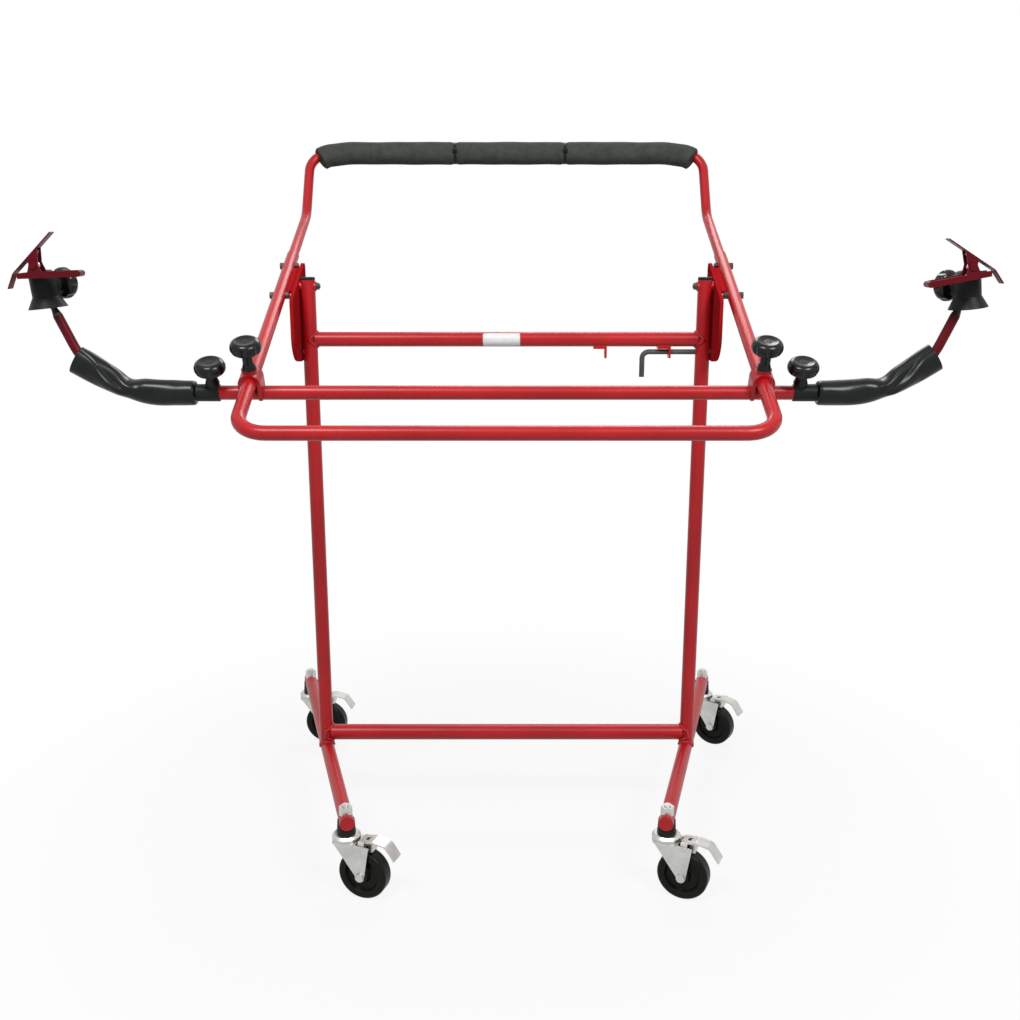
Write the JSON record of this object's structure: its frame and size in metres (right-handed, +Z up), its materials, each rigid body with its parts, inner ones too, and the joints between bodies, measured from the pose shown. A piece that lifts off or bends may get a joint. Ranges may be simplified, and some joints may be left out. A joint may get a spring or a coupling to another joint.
{
  "type": "bumper stand",
  "caption": "Wheeled tube stand that holds a vehicle bumper: tilting loop with handle, sliding cross bar, telescoping arms with ball joints and spring clamps, braked casters.",
  "frame": {"origin": "on the floor under the middle of the whole stand's box", "axes": "+X along the cross bar to the right, +Y from the front rail to the handle, +Z up"},
  "size_m": [1.2562, 0.6981, 1.0937],
  "materials": {
    "red_paint": "gloss powder coat",
    "zinc": "zinc plated",
    "black_steel": "black oxide",
    "knob_black": "moulded",
    "black_nylon": "moulded",
    "sleeve_vinyl": "soft vinyl",
    "foam": "closed-cell foam",
    "wheel_rubber": "moulded"
  },
  "bodies": {
    "base": {"leg_left": "red_paint", "leg_right": "red_paint", "upright_left": "red_paint", "upright_right": "red_paint", "upper_crossbar": "red_paint", "lower_crossbar": "red_paint", "upright_caps": "black_nylon", "pivot_bushes": "red_paint", "pin_tabs": "red_paint", "caster_bushings": "black_nylon", "caster_nuts": "zinc", "caster_stems": "zinc"},
    "tilt_frame": {"front_loop": "red_paint", "handle_tube": "red_paint", "foam_grip": "foam", "index_plate_left": "red_paint", "index_plate_right": "red_paint", "pivot_studs": "black_steel", "loop_bolts": "zinc"},
    "lock_pin": {"lock_pin": "black_steel"},
    "bar_slider": {"cross_bar": "red_paint", "bar_saddles": "red_paint", "bar_collars": "black_nylon"},
    "caster_front_left": {"caster_fork_front_left": "zinc"},
    "wheel_front_left": {"caster_wheel_front_left": "wheel_rubber"},
    "pedal_front_left": {"caster_pedal_front_left": "zinc"},
    "caster_front_right": {"caster_fork_front_right": "zinc"},
    "wheel_front_right": {"caster_wheel_front_right": "wheel_rubber"},
    "pedal_front_right": {"caster_pedal_front_right": "zinc"},
    "caster_rear_left": {"caster_fork_rear_left": "zinc"},
    "wheel_rear_left": {"caster_wheel_rear_left": "wheel_rubber"},
    "pedal_rear_left": {"caster_pedal_rear_left": "zinc"},
    "caster_rear_right": {"caster_fork_rear_right": "zinc"},
    "wheel_rear_right": {"caster_wheel_rear_right": "wheel_rubber"},
    "pedal_rear_right": {"caster_pedal_rear_right": "zinc"},
    "saddle_knob_left": {"saddle_knob_left": "knob_black"},
    "collar_knob_left": {"collar_knob_left": "knob_black"},
    "arm_plug_left": {"arm_plug_left": "black_nylon"},
    "arm_left": {"arm_tube_left": "red_paint", "arm_sleeve_left": "sleeve_vinyl"},
    "ball_left": {"arm_ball_left": "zinc"},
    "holder_left": {"holder_socket_left": "black_nylon", "clamp_body_left": "red_paint", "clamp_pin_left": "zinc", "clamp_spring_left": "zinc"},
    "holder_knob_left": {"holder_knob_left": "knob_black"},
    "clamp_lever_left": {"clamp_lever_left": "red_paint"},
    "saddle_knob_right": {"saddle_knob_right": "knob_black"},
    "collar_knob_right": {"collar_knob_right": "knob_black"},
    "arm_plug_right": {"arm_plug_right": "black_nylon"},
    "arm_right": {"arm_tube_right": "red_paint", "arm_sleeve_right": "sleeve_vinyl"},
    "ball_right": {"arm_ball_right": "zinc"},
    "holder_right": {"holder_socket_right": "black_nylon", "clamp_body_right": "red_paint", "clamp_pin_right": "zinc", "clamp_spring_right": "zinc"},
    "holder_knob_right": {"holder_knob_right": "knob_black"},
    "clamp_lever_right": {"clamp_lever_right": "red_paint"}
  },
  "joints": [
    {"name": "swivel_front_left", "type": "hinge", "parent": "base", "child": "caster_front_left", "pos_m": [-0.23406, -0.22, 0.09], "axis": [0, 0, 1], "continuous": true},
    {"name": "spin_front_left", "type": "hinge", "parent": "caster_front_left", "child": "wheel_front_left", "pos_m": [-0.20775, -0.22958, 0.038], "axis": [0.342, 0.9397, 0], "continuous": true},
    {"name": "brake_front_left", "type": "hinge", "parent": "caster_front_left", "child": "pedal_front_left", "pos_m": [-0.20587, -0.23026, 0.082], "axis": [0.342, 0.9397, 0], "range_deg": [0, 12]},
    {"name": "swivel_front_right", "type": "hinge", "parent": "base", "child": "caster_front_right", "pos_m": [0.23406, -0.22, 0.09], "axis": [0, 0, 1], "continuous": true},
    {"name": "spin_front_right", "type": "hinge", "parent": "caster_front_right", "child": "wheel_front_right", "pos_m": [0.25964, -0.23139, 0.038], "axis": [0.4067, 0.9135, 0], "continuous": true},
    {"name": "brake_front_right", "type": "hinge", "parent": "caster_front_right", "child": "pedal_front_right", "pos_m": [0.26147, -0.2322, 0.082], "axis": [0.4067, 0.9135, 0], "range_deg": [0, 12]},
    {"name": "swivel_rear_left", "type": "hinge", "parent": "base", "child": "caster_rear_left", "pos_m": [-0.36986, 0.294, 0.09], "axis": [0, 0, 1], "continuous": true},
    {"name": "spin_rear_left", "type": "hinge", "parent": "caster_rear_left", "child": "wheel_rear_left", "pos_m": [-0.34214, 0.2901, 0.038], "axis": [0.1392, 0.9903, 0], "continuous": true},
    {"name": "brake_rear_left", "type": "hinge", "parent": "caster_rear_left", "child": "pedal_rear_left", "pos_m": [-0.34016, 0.28982, 0.082], "axis": [0.1392, 0.9903, 0], "range_deg": [0, 12]},
    {"name": "swivel_rear_right", "type": "hinge", "parent": "base", "child": "caster_rear_right", "pos_m": [0.36986, 0.294, 0.09], "axis": [0, 0, 1], "continuous": true},
    {"name": "spin_rear_right", "type": "hinge", "parent": "caster_rear_right", "child": "wheel_rear_right", "pos_m": [0.3928, 0.27794, 0.038], "axis": [0.5736, 0.8192, 0], "continuous": true},
    {"name": "brake_rear_right", "type": "hinge", "parent": "caster_rear_right", "child": "pedal_rear_right", "pos_m": [0.39444, 0.27679, 0.082], "axis": [0.5736, 0.8192, 0], "range_deg": [0, 12]},
    {"name": "tilt", "type": "hinge", "parent": "base", "child": "tilt_frame", "pos_m": [0, 0.022, 0.868], "axis": [1, 0, 0], "range_deg": [-30, 30]},
    {"name": "lock_pin_slide", "type": "slide", "parent": "base", "child": "lock_pin", "axis": [1, 0, 0], "range_m": [-0.049, 0.012]},
    {"name": "cross_bar_slide", "type": "slide", "parent": "tilt_frame", "child": "bar_slider", "axis": [0, 0.9181, 0.3963], "range_m": [-0.06, 0.155]},
    {"name": "saddle_knob_turn_left", "type": "hinge", "parent": "bar_slider", "child": "saddle_knob_left", "pos_m": [-0.336, -0.23262, 0.77659], "axis": [0, -0.3963, 0.9181], "range_deg": [0, 720]},
    {"name": "collar_knob_turn_left", "type": "hinge", "parent": "bar_slider", "child": "collar_knob_left", "pos_m": [-0.387, -0.22414, 0.75695], "axis": [0, -0.3963, 0.9181], "range_deg": [0, 720]},
    {"name": "arm_reach_left", "type": "slide", "parent": "bar_slider", "child": "arm_plug_left", "axis": [-1, 0, 0], "range_m": [0, 0.18]},
    {"name": "arm_turn_left", "type": "hinge", "parent": "arm_plug_left", "child": "arm_left", "pos_m": [-0.1535, -0.2182, 0.74318], "axis": [-1, 0, 0], "continuous": true},
    {"name": "ball_swivel_left", "type": "hinge", "parent": "arm_left", "child": "ball_left", "pos_m": [-0.5977, -0.2182, 0.8739], "axis": [-0.4067, 0, 0.9135], "continuous": true},
    {"name": "holder_tilt_left", "type": "hinge", "parent": "ball_left", "child": "holder_left", "pos_m": [-0.5977, -0.2182, 0.8739], "axis": [0, 1, 0], "range_deg": [-54, 18]},
    {"name": "pinch_knob_turn_left", "type": "hinge", "parent": "holder_left", "child": "holder_knob_left", "pos_m": [-0.58993, -0.20022, 0.88377], "axis": [0.436, 0.8988, 0.0458], "range_deg": [0, 720]},
    {"name": "jaw_left", "type": "hinge", "parent": "holder_left", "child": "clamp_lever_left", "pos_m": [-0.59341, -0.2512, 0.90955], "axis": [0, 1, 0], "range_deg": [0, 28], "stiffness_Nm_per_rad": 0.6, "springref_deg": -45.84, "deforming": ["clamp_spring_left"]},
    {"name": "saddle_knob_turn_right", "type": "hinge", "parent": "bar_slider", "child": "saddle_knob_right", "pos_m": [0.336, -0.23262, 0.77659], "axis": [0, -0.3963, 0.9181], "range_deg": [0, 720]},
    {"name": "collar_knob_turn_right", "type": "hinge", "parent": "bar_slider", "child": "collar_knob_right", "pos_m": [0.387, -0.22414, 0.75695], "axis": [0, -0.3963, 0.9181], "range_deg": [0, 720]},
    {"name": "arm_reach_right", "type": "slide", "parent": "bar_slider", "child": "arm_plug_right", "axis": [1, 0, 0], "range_m": [0, 0.18]},
    {"name": "arm_turn_right", "type": "hinge", "parent": "arm_plug_right", "child": "arm_right", "pos_m": [0.1535, -0.2182, 0.74318], "axis": [1, 0, 0], "continuous": true},
    {"name": "ball_swivel_right", "type": "hinge", "parent": "arm_right", "child": "ball_right", "pos_m": [0.5977, -0.2182, 0.8739], "axis": [0.4067, 0, 0.9135], "continuous": true},
    {"name": "holder_tilt_right", "type": "hinge", "parent": "ball_right", "child": "holder_right", "pos_m": [0.5977, -0.2182, 0.8739], "axis": [0, -1, 0], "range_deg": [-67, 5]},
    {"name": "pinch_knob_turn_right", "type": "hinge", "parent": "holder_right", "child": "holder_knob_right", "pos_m": [0.58791, -0.20022, 0.88177], "axis": [-0.4351, 0.8988, -0.0534], "range_deg": [0, 720]},
    {"name": "jaw_right", "type": "hinge", "parent": "holder_right", "child": "clamp_lever_right", "pos_m": [0.5855, -0.2512, 0.90767], "axis": [0, -1, 0], "range_deg": [0, 28], "stiffness_Nm_per_rad": 0.6, "springref_deg": -45.84, "deforming": ["clamp_spring_right"]}
  ]
}
